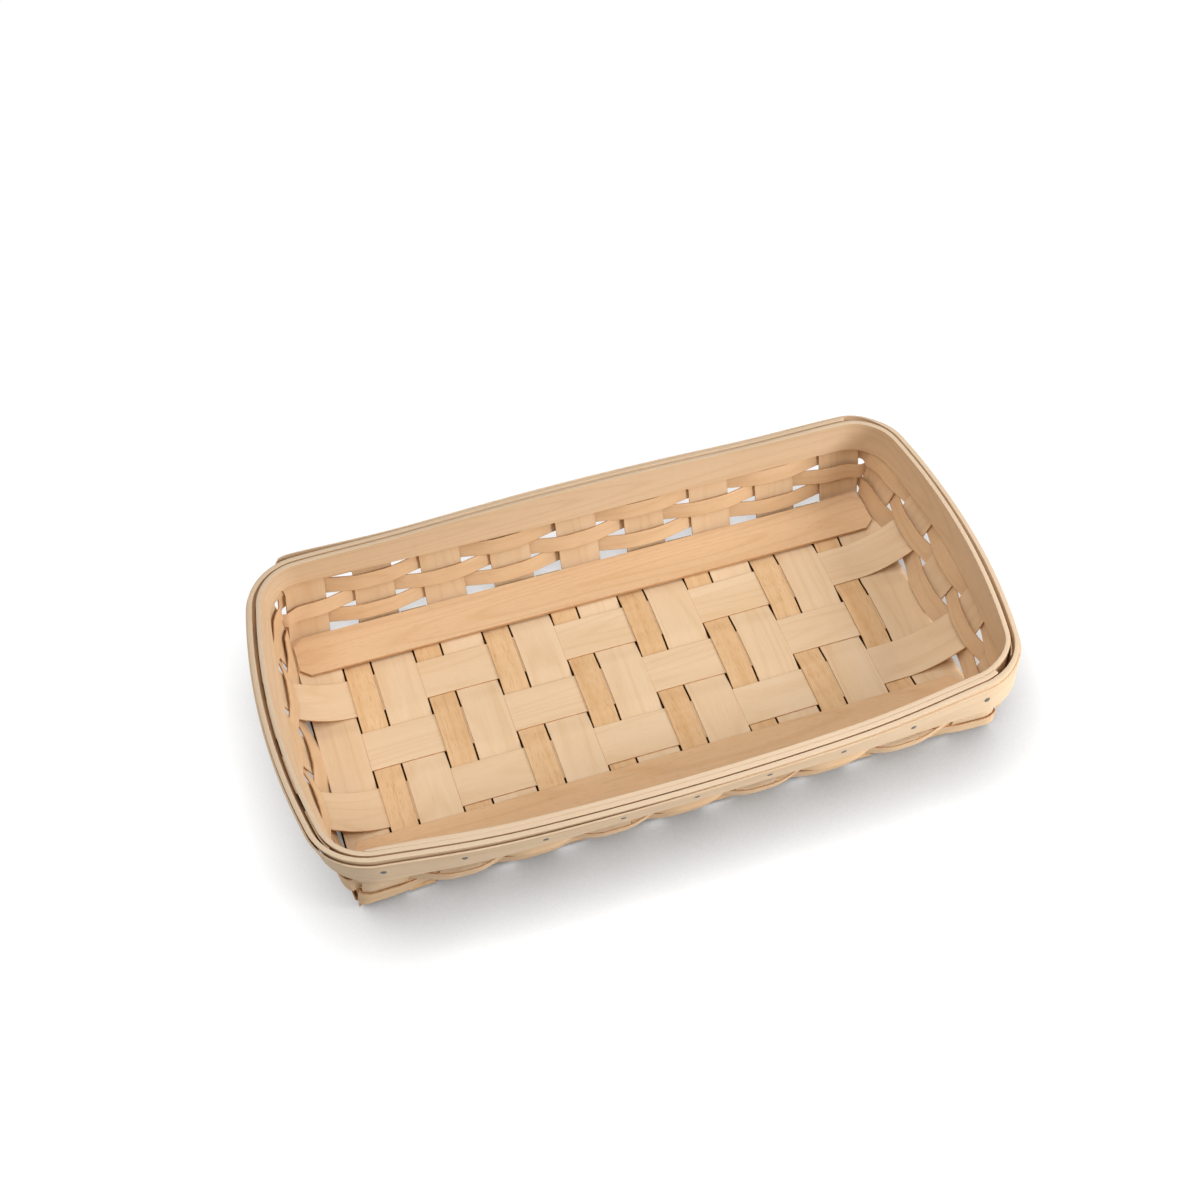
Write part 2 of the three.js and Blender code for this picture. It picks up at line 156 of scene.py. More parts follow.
# How this basket differs from an even one, as it was woven by hand
LEFT_LEAN = 3.0
LEFT_FADE_START = 60.0
LEFT_FADE = 80.0
RIGHT_LEAN = 0.3
RIGHT_FADE_START = 95.0
RIGHT_FADE = 50.0
RIGHT_FOOT_OUT = 2.4
RIM_LIFT = 3.2
LIFT_START = 60.0
LIFT_RUN = 85.0
LIFT_POWER = 1.5
NEAR_CURVE = 1.5
FAR_FLAT = 1.2
NEAR_FADE = 70.0
NEAR_FOOT_IN = 1.8
NEAR_FOOT_RUN = 35.0
NEAR_FOOT_START = 12.0
NEAR_FOOT_FADE = 10.0
LEFT_TUCK = 2.8

# Tacks
TACK_RADIUS = 1.3
TACK_DOME = 0.35
TACK_HEIGHT = 36.9
TACK_RINGS = 5
TACK_TURNS = 16
TACK_STRAYS = (0.0, 0.4, 1.6, 1.6, 0.5, -0.3, 0.0, -0.8, 0.2)

# Space under the boards, and between a weaver and its own start
CLEARANCE = 0.3

# Sizes that follow from the ones above
COLUMN_PITCH = WIDE_WIDTH + FILLER_WIDTH + 2 * SPLINT_GAP
ROW_PITCH = ROW_WIDTH + ROW_GAP
BASE_HALF_LENGTH = ((WIDE_COUNT - 1) * COLUMN_PITCH + WIDE_WIDTH) / 2
BASE_HALF_WIDTH = ((ROW_COUNT - 1) * ROW_PITCH + ROW_WIDTH) / 2
LAYER = SPLINT_THICKNESS + LAYER_JOINT
ROW_LEVEL = WEAVE_TOP - LAYER - SPLINT_THICKNESS / 2
UNDER_DIP = ROW_LEVEL - LAYER - SPLINT_THICKNESS / 2
BOARD_BOTTOM = WEAVE_TOP + CLEARANCE
FOOT_HEIGHT = WEAVE_TOP
FOOT_HALF_LENGTH = BASE_HALF_LENGTH + BEND_RADIUS + FOOT_CLEAR
FOOT_HALF_WIDTH = BASE_HALF_WIDTH + BEND_RADIUS + FOOT_CLEAR
WEAVER_FOOT = WEAVE_TOP + WEAVER_LIFT
WEAVER_PITCH = WEAVER_WIDTH + WEAVER_GAP
SWEEP_TOP = WEAVER_FOOT + SWEEP_SHARE * WEAVER_WIDTH
BAND_BOTTOM = WEAVER_FOOT + WEAVER_COUNT * WEAVER_PITCH
RIM_TOP = BAND_BOTTOM + BAND_HEIGHT
FACING_TOP = RIM_TOP - FACING_DROP
STAKE_TOP = RIM_TOP - STAKE_DROP
KNEE_HEIGHT = BAND_BOTTOM - WEAVER_GAP / 2
CROSS_REACH = ROW_WIDTH / 2 + CROSSING_EASE
STAKE_SIDE_END = BASE_HALF_LENGTH + CROSSING_EASE
STAKE_END_END = BASE_HALF_WIDTH + CROSSING_EASE
BAND_OFFSET = SPLINT_THICKNESS / 2 + BAND_JOINT + BAND_THICKNESS / 2
FACING_OFFSET = BAND_OFFSET + BAND_THICKNESS / 2 + FACING_JOINT + FACING_THICKNESS / 2
WEAVER_LAP = WEAVER_THICKNESS + CLEARANCE

# Fineness of the meshes: steps of length, and numbers of steps
ALONG_STEP = 1.2
BAND_STEP = 1.6
BEND_STEPS = 8
BOARD_STEPS = 200
LAP_STEPS = 6000
WALL_STEPS = 26
LEAN_STEP = 9.0
EDGE_RADIUS = 0.16
EDGE_STEPS = 3
EDGE_SUPPORT = 0.12
EDGE_MOST = 0.48
SPLINT_ACROSS = 10
CORNER_ACROSS = 22
FILLER_ACROSS = 8
BOARD_ACROSS = 10
WEAVER_ACROSS = 6
BAND_ACROSS = 8
FINE_STEP = 1e-3

# Each strip's grain starts at its own random spot, from these seeds on
GRAIN_SPREAD = 4000.0
WIDE_SEED = 100
FILLER_SEED = 200
ROW_SEED = 300
BOARD_SEED = 400
WEAVER_SEED = 500
BAND_SEED = 600


def smooth(share):
    """Smoothstep: 3 s^2 - 2 s^3, held at 0 and 1 outside the range of the share s."""
    share = np.clip(share, 0.0, 1.0)
    return share * share * (3.0 - 2.0 * share)


def mix(first, last, share):
    """The value that is the given share of the way from the first to the last."""
    return first + (last - first) * share


def rising(place, window):
    """From 0 to 1 by a smoothstep, over the window's run after its place."""
    start, run = window
    return smooth((place - start) / run)


def falling(place, window):
    """From 1 to 0 by a smoothstep, over the window's run before its place."""
    end, run = window
    return smooth((end - place) / run)


def side_lean(height):
    """Share of the sides' lean, which is even from the foot to the rim."""
    return (height - FOOT_HEIGHT) / (RIM_TOP - FOOT_HEIGHT)


def band_lean(height):
    """Shares of the ends' lean, the sides' lean and the sides' bow in the rim, where bands are straight."""
    up = (height - KNEE_HEIGHT) / (RIM_TOP - KNEE_HEIGHT)
    return mix(END_KNEE, 1.0, up), side_lean(height), mix(SIDE_KNEE, 1.0, up)


def stake_lean(height):
    """The same shares for the stakes: straight up to a knee under the bands, then as the bands."""
    up = (height - FOOT_HEIGHT) / (KNEE_HEIGHT - FOOT_HEIGHT)
    end, side, bow = band_lean(height)
    return np.where(up <= 1.0, END_KNEE * up, end), side, np.where(up <= 1.0, SIDE_KNEE * up, bow)


class WallLevels:
    """Levels of the wall seen from above, one for each set of shares of the lean.

    A quarter of a level is half a side arc, a corner arc and half an end arc, all tangent. The corner's
    centre is where two circles round the other arcs' centres meet. A place is named by the angle of its
    outward normal."""

    def __init__(self, lean):
        end, side, bow = lean
        self.side_radius = SIDE_BOW_RADIUS / np.maximum(bow, LEAST_BOW)
        self.end_radius = END_BOW_RADIUS / np.maximum(end, LEAST_BOW)
        self.corner_radius = mix(FOOT_CORNER_RADIUS, RIM_CORNER_RADIUS, end)
        self.side_centre = FOOT_HALF_WIDTH + SIDE_FLARE * side - self.side_radius
        self.end_centre = FOOT_HALF_LENGTH + END_FLARE * end - self.end_radius
        from_side = self.side_radius - self.corner_radius
        from_end = self.end_radius - self.corner_radius
        apart = np.hypot(self.end_centre, self.side_centre)
        along = (from_side**2 - from_end**2 + apart**2) / (2 * apart)
        across = np.sqrt(from_side**2 - along**2)
        out_x = self.end_centre / apart
        out_y = -self.side_centre / apart
        self.corner_x = out_x * along + out_y * across
        self.corner_y = self.side_centre + out_y * along - out_x * across
        self.side_angle = np.arctan2(self.corner_y - self.side_centre, self.corner_x)
        self.end_angle = np.arctan2(self.corner_y, self.corner_x - self.end_centre)
        self.side_reach = self.side_radius * np.cos(self.side_angle)
        self.end_reach = self.end_radius * np.sin(self.end_angle)

    def angle_at_x(self, x):
        """Angle of the normal at a distance along a side: an arc cosine on the side arc or the corner arc."""
        side = np.arccos(np.clip(x / self.side_radius, -1, 1))
        corner = np.arccos(np.clip((x - self.corner_x) / self.corner_radius, -1, 1))
        return np.where(x <= self.side_reach, side, corner)

    def angle_at_y(self, y):
        """Angle of the normal at a distance along an end: an arc sine on the end arc or the corner arc."""
        end = np.arcsin(np.clip(y / self.end_radius, -1, 1))
        corner = np.arcsin(np.clip((y - self.corner_y) / self.corner_radius, -1, 1))
        return np.where(y <= self.end_reach, end, corner)

    def at(self, angle, offset=0.0):
        """The point at a normal's angle: its arc's centre plus radius and offset along the normal."""
        on_side = angle >= self.side_angle
        on_end = angle <= self.end_angle
        radius = np.where(on_side, self.side_radius, np.where(on_end, self.end_radius, self.corner_radius))
        centre_x = np.where(on_side, 0.0, np.where(on_end, self.end_centre, self.corner_x))
        centre_y = np.where(on_side, self.side_centre, np.where(on_end, 0.0, self.corner_y))
        out = radius + offset
        return centre_x + out * np.cos(angle), centre_y + out * np.sin(angle)


def round_wall(lap, height, offset, lean, at_stakes=False):
    """Points of the wall at lap places and heights, moved out by an offset.

    The lap place counts 12 to a turn, clockwise from the middle of the far side: 3 is the middle of the
    right end, 6 of the near side, 9 of the left end. From the middle of a side to the middle of an end, the
    first third is the side, by its length, the second the corner, by its angle, and the last the end. Sides
    and ends reach to the outer stakes or to the arcs' joints."""
    levels = WallLevels(lean(height))
    place = np.abs((lap + QUARTER) % HALF_TURN - QUARTER)
    side_end = STAKE_SIDE_END if at_stakes else levels.side_reach
    end_end = STAKE_END_END if at_stakes else levels.end_reach
    on_side = levels.angle_at_x(np.minimum(place, 1.0) * side_end)
    on_end = levels.angle_at_y(np.clip(QUARTER - place, 0.0, 1.0) * end_end)
    round_corner = np.clip(place - 1.0, 0.0, 1.0)
    in_corner = mix(levels.angle_at_x(side_end), levels.angle_at_y(end_end), round_corner)
    angle = np.where(place <= 1.0, on_side, np.where(place >= 2.0, on_end, in_corner))
    x, y = levels.at(angle, offset)
    x = np.where(lap % TURN < HALF_TURN, x, -x)
    y = np.where((lap + QUARTER) % TURN < HALF_TURN, y, -y)
    return np.stack(np.broadcast_arrays(x, y, height), axis=-1)


def even_laps(first, last, height, lean, step, at_stakes=False):
    """Lap places from first to last at even steps of length along the wall."""
    fine = np.linspace(first, last, LAP_STEPS)
    points = round_wall(fine, np.full_like(fine, height), 0.0, lean, at_stakes)
    length = np.concatenate([[0.0], np.cumsum(np.linalg.norm(np.diff(points, axis=0), axis=1))])
    even = np.linspace(0.0, length[-1], int(length[-1] / step) + 1)
    return np.interp(even, length, fine)


def column_x(i):
    """Middle of a wide splint, counted from 0 at the left."""
    return (i - (WIDE_COUNT - 1) / 2) * COLUMN_PITCH


def row_y(j):
    """Middle of a lengthwise splint, counted from 0 at the far side."""
    return ((ROW_COUNT - 1) / 2 - j) * ROW_PITCH + ROW_SHIFT


def row_height(j, x):
    """Height of a lengthwise splint: a sine, up over one cross splint and down under the next.

    The sine fades out in the last half column at each end."""
    first_turn = column_x(-1) + WIDE_WIDTH / 2 + SPLINT_GAP / 2
    wave = np.sin(np.pi * (x - first_turn) / COLUMN_PITCH) * (-1) ** (j + 1)
    fade = smooth((BASE_HALF_LENGTH - np.abs(x)) / COLUMN_PITCH * 2.0)
    return ROW_LEVEL + ROW_SWAY * wave * fade


def cross_height(column, x, y):
    """Height of a cross splint: one layer over or under each lengthwise splint, eased between them.

    Where it goes under, it sinks by a squared cosine to the surface that the basket stands on."""
    levels = [row_height(j, x) + LAYER * (-1) ** (column + j) for j in range(ROW_COUNT)]
    height = levels[-1] + 0.0 * y
    for j in range(ROW_COUNT - 1, 0, -1):
        start = row_y(j) + CROSS_REACH
        share = smooth((y - start) / (ROW_PITCH - 2 * CROSS_REACH))
        height = height + (levels[j - 1] - levels[j]) * share
    for j in range(ROW_COUNT):
        if (column + j) % 2 == 1:
            inside = np.clip((y - row_y(j)) / (ROW_WIDTH / 2), -1.0, 1.0)
            height = height - UNDER_DIP * np.cos(np.pi / 2 * inside) ** 2
    return height


def turned_up(reach, level):
    """The stake of a splint: an arc from its level in the base, tangent to the wall, then up the wall.

    reach gives how far out the wall is at a height. Returns distances out, heights, and the arc's start."""
    foot = reach(np.full_like(level, FOOT_HEIGHT))
    slope = (reach(np.full_like(level, FOOT_HEIGHT + LEAN_STEP)) - foot) / LEAN_STEP
    turn = np.arctan2(1.0, slope)
    start = foot + (level - FOOT_HEIGHT) * slope - BEND_RADIUS * np.tan(turn / 2)
    angle = np.linspace(0.0, 1.0, BEND_STEPS + 1)[:, None] * turn
    bend_out = start + BEND_RADIUS * np.sin(angle)
    bend_up = level + BEND_RADIUS * (1.0 - np.cos(angle))
    share = np.linspace(0.0, 1.0, WALL_STEPS + 1)[1:, None]
    wall_up = mix(bend_up[-1], STAKE_TOP, share)
    return np.vstack([bend_out, reach(wall_up)]), np.vstack([bend_up, wall_up]), start


def swept_up(reach, level):
    """The stake of a splint that leaves the base early: a parabola up to the wall, then up the wall."""
    meet = reach(np.full_like(level, SWEEP_TOP))
    share = np.linspace(0.0, 1.0, 3 * BEND_STEPS + 1)[:, None]
    sweep_out = meet - SWEEP_LENGTH * (1.0 - share)
    sweep_up = mix(level, SWEEP_TOP, share**2)
    share = np.linspace(0.0, 1.0, WALL_STEPS + 1)[1:, None]
    wall_up = mix(SWEEP_TOP, STAKE_TOP, share) + 0.0 * level
    return np.vstack([sweep_out, reach(wall_up)]), np.vstack([sweep_up, wall_up]), meet - SWEEP_LENGTH


def wide_splint(i):
    """Middle surface of a wide splint: up the near wall, over and under the rows, up the far wall.

    The last one, at the right end, is wider on the base."""

    def surface(across):
        x = column_x(i) + across

        def reach(height):
            """How far out the side is at a height, at each place across the splint."""
            levels = WallLevels(stake_lean(height))
            return levels.at(levels.angle_at_x(np.abs(x)))[1]

        base_end = np.full_like(x, BASE_HALF_WIDTH)
        near_out, near_up, near_start = turned_up(reach, cross_height(i, x, -base_end))
        far_out, far_up, far_start = turned_up(reach, cross_height(i, x, base_end))
        share = np.linspace(0.0, 1.0, int(2 * BASE_HALF_WIDTH / ALONG_STEP))[1:-1, None]
        y = mix(-near_start, far_start, share)
        along = np.vstack([-near_out[::-1], y, far_out])
        up = np.vstack([near_up[::-1], cross_height(i, x, y), far_up])
        inside = smooth((BASE_HALF_WIDTH - EXTRA_FADE_START - np.abs(along)) / EXTRA_FADE)
        extra = LAST_SPLINT_EXTRA * (across / WIDE_WIDTH + 0.5) if i == WIDE_COUNT - 1 else 0.0
        return np.stack(np.broadcast_arrays(x + extra * inside, along, up), axis=-1)

    return surface


def filler_splint(i):
    """Middle surface of a filler: flat across the base, over and under with the wide splint on its right."""

    def surface(across):
        x = (column_x(i) + column_x(i + 1)) / 2 + across
        end = row_y(0) + CROSS_REACH
        y = np.linspace(-end, end, int(2 * end / ALONG_STEP))[:, None]
        return np.stack(np.broadcast_arrays(x, y, cross_height(i + 1, x, y)), axis=-1)

    return surface


def lengthwise_splint(j):
    """Middle surface of a lengthwise splint: up the left wall, along the base, up the right wall.

    Two of them lie aslant towards their right ends, by a smoothstep."""

    def surface(across):
        y = row_y(j) + across

        def reach(height):
            """How far out the end is at a height, at each place across the splint."""
            levels = WallLevels(stake_lean(height))
            return levels.at(levels.angle_at_y(np.abs(y)))[0]

        rises = turned_up if j % 2 == 0 else swept_up
        out, up, start = rises(reach, np.full_like(y, ROW_LEVEL))
        share = np.linspace(0.0, 1.0, int(2 * BASE_HALF_LENGTH / ALONG_STEP))[1:-1, None]
        x = mix(-start, start, share)
        along = np.vstack([-out[::-1], x, out])
        height = np.vstack([up[::-1], row_height(j, x), up])
        aslant = y + ROW_SKEWS[j] * smooth((along - SKEW_START) / SKEW_RUN)
        return np.stack(np.broadcast_arrays(along, aslant, height), axis=-1)

    return surface


def side_board(far, taper_left, taper_right):
    """Middle surface of a side board: flat on the weave, drawn in at its ends where the corners are clipped.

    Its width tapers evenly between the two given shares."""
    half = BASE_HALF_LENGTH - BOARD_END_INSET
    tail = np.array(BOARD_TAIL)
    plain = np.linspace(-half + BOARD_PLAIN_START, half - BOARD_PLAIN_START, BOARD_STEPS)
    x = np.concatenate([-half + tail, plain, (half - tail)[::-1]])[:, None]
    draw = 1.0 - np.clip(BOARD_CLIP - (half - np.abs(x)), 0.0, BOARD_CLIP) / (BOARD_WIDTH / 2)
    taper = mix(taper_left, taper_right, (x + half) / (2 * half))

    def surface(across):
        y = far * (BASE_HALF_WIDTH - taper * BOARD_WIDTH / 2) + across * draw * taper
        height = BOARD_BOTTOM + BOARD_THICKNESS / 2
        return np.stack(np.broadcast_arrays(x, y, height), axis=-1)

    return surface


def stake_laps():
    """Lap places of the stakes' middles, in order round one turn from 0 to 12."""
    sides = [column_x(i) / STAKE_SIDE_END for i in range(WIDE_COUNT)]
    ends = [row_y(j) / STAKE_END_END for j in range(ROW_COUNT)]
    far = [x % TURN for x in sides]
    right = [RIGHT_END - y for y in ends]
    near = [NEAR_SIDE - x for x in sides]
    left = [LEFT_END + y for y in ends]
    return np.sort(np.array(far + right + near + left))


def weaver(row):
    """Middle surface of a weaver: once round the wall and over its own start, swinging by a cosine.

    Its swing at each stake is out or in by turns; between stakes' middles it goes from one to the next. On
    the near side each weaver bulges out by its own amount, and less at the last stake before a corner. The
    top one's lower edge flares out there by a square, and the bottom one's sags there and at the ends."""
    middle = WEAVER_FOOT + row * WEAVER_PITCH + WEAVER_WIDTH / 2
    stakes = stake_laps()
    outside_first = row % 2 == 0
    first = stakes[0 if outside_first else 1]
    lead = WEAVER_LEAD / STAKE_SIDE_END
    laps = even_laps(first - lead, first + TURN + lead, middle, stake_lean, ALONG_STEP, at_stakes=True)
    ring = np.concatenate([stakes - TURN, stakes, stakes + TURN, stakes + 2 * TURN])
    number = np.arange(len(ring))
    stake_from_near = np.abs(ring % TURN - NEAR_SIDE)
    near = stake_from_near < 1.0
    near_out = np.where(stake_from_near > NEAR_CORNER_FROM, NEAR_CORNER_SWING, NEAR_SWINGS[row])
    swing_out = np.where(near, near_out, WEAVER_SWING)
    reach = np.where((number % 2 == 0) == outside_first, swing_out, -WEAVER_SWING)
    place = np.interp(laps, ring, number)
    here = np.floor(place).astype(int)
    share = np.clip((place - here - WEAVER_FLAT) / (1.0 - 2.0 * WEAVER_FLAT), 0.0, 1.0)
    eased = (1.0 - np.cos(np.pi * share)) / 2.0
    swing = mix(reach[here], reach[here + 1], eased)
    bulging = np.where(near & (reach > NEAR_CORNER_SWING) & (row == WEAVER_COUNT - 1), 1.0, 0.0)
    flare = TOP_FLARE * mix(bulging[here], bulging[here + 1], eased)[:, None]
    over_start = WEAVER_LAP * smooth((laps - (first + OVER_START[0])) / OVER_START[1])
    offset = (swing + over_start)[:, None]
    left_sag = LEFT_SAG * falling(np.abs(laps % TURN - LEFT_END), END_SAG_REACH)
    right_sag = RIGHT_SAG * falling(np.abs(laps % TURN - RIGHT_END), END_SAG_REACH)
    near_sag = NEAR_SAG * falling(np.abs(laps % TURN - NEAR_SIDE), NEAR_SAG_REACH)
    sag = np.maximum(np.maximum(left_sag, near_sag), right_sag)
    sag = (sag * (row == 0))[:, None]

    def surface(across):
        low = 0.5 - across[None, :] / WEAVER_WIDTH
        height = middle + across[None, :] - sag * low
        return round_wall(laps[:, None], height, offset + flare * low**2, stake_lean, at_stakes=True)

    return surface


def rim_band(first, last, middle, offset_at, clip=0.0, rise_at=np.zeros_like):
    """Middle surface of a band: on edge round the wall between two lap places, at offsets given by the place.

    Its far end is drawn in over the length of the clip, so that its two corners are cut off aslant. Its
    lower edge is raised by the rise at a place, and the height between the edges in proportion."""
    way = 1.0 if last > first else -1.0
    laps = even_laps(first, last, middle, band_lean, BAND_STEP)
    offset = offset_at(laps * way)[:, None]
    left_over = BAND_STEP * np.arange(len(laps))[::-1, None]
    draw = 1.0 - np.clip(clip - left_over, 0.0, None) / (BAND_HEIGHT / 2)
    rise = rise_at(laps * way)[:, None]

    def surface(across):
        height = middle + across[None, :] * draw + rise * (0.5 - across[None, :] / BAND_HEIGHT)
        return round_wall(laps[:, None], height, offset, band_lean)

    return surface


def at_ends(lap):
    """Share of being at an end of the basket: 0 on the sides, 1 on the ends, eased in the corners."""
    return rising(np.abs((lap + QUARTER) % HALF_TURN - QUARTER), END_BEGINS)


def end_gap(lap):
    """How far the outer band stands off: along the left end, and at the near half of the right end."""
    right = falling(lap, RIGHT_GAP_CLOSES)
    return END_GAP * at_ends(lap) * np.where(lap < HALF_TURN, 1.0, right)


def lap_step(share):
    """From the middle of one layer to the middle of the next, which has the given share of its thickness."""
    return BAND_THICKNESS * (1.0 + share) / 2.0


def inner_share(lap):
    """Share of the inner band's thickness: its last end is shaved thin where it laps over the band."""
    start, run = INNER_SHAVED
    return mix(1.0, INNER_END_SHARE, np.clip((lap - start) / run, 0.0, 1.0))


def inner_offset(lap):
    """The inner band lies against the stakes and moves in at the last corner to lap over itself."""
    step = (lap_step(inner_share(lap)) + BAND_JOINT) * rising(lap, INNER_MOVES_IN)
    return -BAND_OFFSET - step - INNER_END_GAP * at_ends(lap) * (lap < TURN)


def inner_rise(lap):
    """How far the inner band's lower edge is raised: in the far left corner, where light shows under it."""
    return CORNER_RISE * rising(lap, INNER_RISES) * falling(lap, INNER_SINKS)


def outer_share(lap):
    """Share of the outer band's thickness: it is shaved where it laps over itself."""
    return mix(1.0, OUTER_LAP_SHARE, rising(lap, OUTER_SHAVED))


def outer_lap_offset(lap):
    """The outer band stands off at the ends and moves out at the last corner, to lap over itself."""
    step = lap_step(outer_share(lap)) + OUTER_JOINT
    return step * rising(lap, OUTER_MOVES_OUT) + end_gap(lap)


SPRING_END = TURN + 1.0
SPRING_START = SPRING_END - SPRING_LENGTH / BASE_HALF_LENGTH


def outer_offset(lap):
    """The outer band laps over itself along the far side, and its loose end springs away by a square."""
    spring = BAND_SPRING * np.clip((lap - SPRING_START) / (SPRING_END - SPRING_START), 0.0, 1.0) ** 2
    return BAND_OFFSET + outer_lap_offset(lap) + spring


def facing_offset(lap):
    """The facing band follows the outer band on its outside, a little slack until the near side's middle."""
    return FACING_OFFSET + outer_lap_offset(lap) + FACING_SLACK * falling(lap, FACING_TIGHTENS)


def splint_section(width, thickness, steps):
    """Closed section of a strip as places across and up: a rectangle whose edges are rounded by arcs.

    The upper half runs from one edge to the other, with a support point beside each arc, and the lower half
    is its mirror image in the opposite order. The third list is 1 on the arcs and 0 between them."""
    radius = min(EDGE_RADIUS, EDGE_MOST * thickness)
    arc = np.linspace(0.0, np.pi / 2, EDGE_STEPS + 1)
    rim_across = width / 2 - radius + radius * np.cos(arc)
    rim_up = thickness / 2 - radius + radius * np.sin(arc)
    flat = np.linspace(-1.0, 1.0, steps + 1) * (width / 2 - radius - EDGE_SUPPORT)
    across = np.concatenate([-rim_across, flat, rim_across[::-1]])
    up = np.concatenate([rim_up, np.full(len(flat), thickness / 2), rim_up[::-1]])
    edge = np.concatenate([np.ones(EDGE_STEPS + 1), np.zeros(len(flat)), np.ones(EDGE_STEPS + 1)])
    edge[EDGE_STEPS] = 0.0
    edge[-EDGE_STEPS - 1] = 0.0
    across = np.concatenate([across, across[::-1]])
    up = np.concatenate([up, -up[::-1]])
    return across, up, np.concatenate([edge, edge[::-1]])


def warp(points):
    """The basket as woven by hand, by moves that fade along the basket and from the rim to the foot.

    The left end leans in under its rim, the most at the knee. The right end leans out above the knee, and
    the foot of its near corner stands out. The rim rises towards both ends, and the near side curves in
    there. The far side's rim is straighter in its middle. The foot of the near side lies further in between
    its corners, and its left corner is tucked in at the knee."""
    x, y, z = np.moveaxis(points, -1, 0)
    below = (z - FOOT_HEIGHT) / (KNEE_HEIGHT - FOOT_HEIGHT)
    above = (RIM_TOP - z) / (RIM_TOP - KNEE_HEIGHT)
    at_knee = np.clip(np.minimum(below, above), 0.0, 1.0)
    over_knee = np.clip(1.0 - above, 0.0, 1.0)
    up = np.clip(side_lean(z), 0.0, 1.0)
    left = smooth((-x - LEFT_FADE_START) / LEFT_FADE)
    right = smooth((x - RIGHT_FADE_START) / RIGHT_FADE)
    near = smooth(-y / NEAR_FADE)
    far = smooth(y / NEAR_FADE)
    ends = smooth((np.abs(x) - LIFT_START) / LIFT_RUN) ** LIFT_POWER
    near_foot = smooth((-y - FOOT_HALF_WIDTH + NEAR_FOOT_START) / NEAR_FOOT_FADE)
    foot = smooth((FOOT_HALF_LENGTH - np.abs(x)) / NEAR_FOOT_RUN) * near_foot
    right_move = RIGHT_LEAN * over_knee + RIGHT_FOOT_OUT * near**3 * (1.0 - up)
    move_x = LEFT_LEAN * at_knee * left + right * right_move
    near_move = NEAR_CURVE * ends * up + LEFT_TUCK * left**3 * at_knee
    move_y = near * near_move + NEAR_FOOT_IN * foot * (1.0 - up)
    move_y -= far * FAR_FLAT * (1.0 - ends) * up**3
    move_z = RIM_LIFT * ends * up**2
    return np.stack([x + move_x, y + move_y, z + move_z], axis=-1)


def put_mesh(name, points, quads, smooth_faces, flat_place, edge, material):
    """Writes points in millimetres and quads into a mesh object.

    The strip's own flat places and its cut edges go in as attributes."""
    mesh = bpy.data.meshes.new(name)
    mesh.vertices.add(len(points))
    mesh.vertices.foreach_set("co", (points * MM).astype(np.float32).ravel())
    mesh.loops.add(quads.size)
    mesh.loops.foreach_set("vertex_index", quads.astype(np.int32).ravel())
    mesh.polygons.add(len(quads))
    mesh.polygons.foreach_set("loop_start", np.arange(0, quads.size, 4, dtype=np.int32))
    mesh.polygons.foreach_set("use_smooth", smooth_faces)
    mesh.update(calc_edges=True)
    mesh.validate()
    place = mesh.attributes.new("flat_place", "FLOAT_VECTOR", "POINT")
    place.data.foreach_set("vector", flat_place.astype(np.float32).ravel())
    cut = mesh.attributes.new("cut_edge", "FLOAT", "POINT")
    cut.data.foreach_set("value", edge.astype(np.float32))
    mesh.materials.append(material)
    piece = bpy.data.objects.new(name, mesh)
    bpy.context.scene.collection.objects.link(piece)
    return piece


def facing_out(points, quads):
    """The quads of a closed shape, all turned over if the volume inside them comes out negative.

    The volume is a sum of triple products of the corners, two for each quad."""
    corners = points[quads]
    volume = np.einsum("ij,ij->", corners[:, 0], np.cross(corners[:, 1], corners[:, 2]))
    volume += np.einsum("ij,ij->", corners[:, 0], np.cross(corners[:, 2], corners[:, 3]))
    return quads[:, ::-1] if volume < 0.0 else quads


def strip_piece(node, surface, width, thickness, steps, material, seed, share=None):
    """A strip of wood round its middle surface, closed at both ends.

    Each point is the surface at the section's place across, plus the section's height along the surface's
    normal, which is the cross product of the directions along and across. The share of the thickness is
    given for each step along the strip, where it isn't the same all along."""
    across, up, edge = splint_section(width, thickness, steps)
    middle = surface(across)
    side = (surface(across + FINE_STEP) - surface(across - FINE_STEP)) / (2 * FINE_STEP)
    along = np.gradient(middle, axis=0)
    normal = np.cross(along, side)
    normal /= np.linalg.norm(normal, axis=-1, keepdims=True)
    thin = np.ones(len(middle)) if share is None else share
    points = warp(middle + normal * (thin[:, None] * up[None, :])[..., None])
    stations, loop = points.shape[:2]

    spine = middle[:, loop // 4]
    run = np.concatenate([[0.0], np.cumsum(np.linalg.norm(np.diff(spine, axis=0), axis=1))])
    spot = np.random.default_rng(seed).uniform(0.0, GRAIN_SPREAD, 3)
    flat = np.stack(np.broadcast_arrays(run[:, None], across[None, :], up[None, :]), axis=-1) + spot

    index = np.arange(stations * loop).reshape(stations, loop)
    after = np.roll(index, -1, axis=1)
    sides = np.stack([index[:-1], after[:-1], after[1:], index[1:]], axis=-1).reshape(-1, 4)
    half = loop // 2
    upper = index[:, :half]
    lower = index[:, half:][:, ::-1]
    start = np.stack([upper[0, :-1], lower[0, :-1], lower[0, 1:], upper[0, 1:]], axis=-1)
    end = np.stack([upper[-1, :-1], upper[-1, 1:], lower[-1, 1:], lower[-1, :-1]], axis=-1)
    flat_points = points.reshape(-1, 3)
    quads = facing_out(flat_points, np.concatenate([sides, start, end]))
    smooth_faces = np.concatenate([np.ones(len(sides), bool), np.zeros(len(start) + len(end), bool)])
    edges = np.broadcast_to(edge[None, :], (stations, loop)).ravel()
    piece = put_mesh(f"{node}_wood", flat_points, quads, smooth_faces, flat.reshape(-1, 3), edges, material)
    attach(piece, "root")
    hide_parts(node)


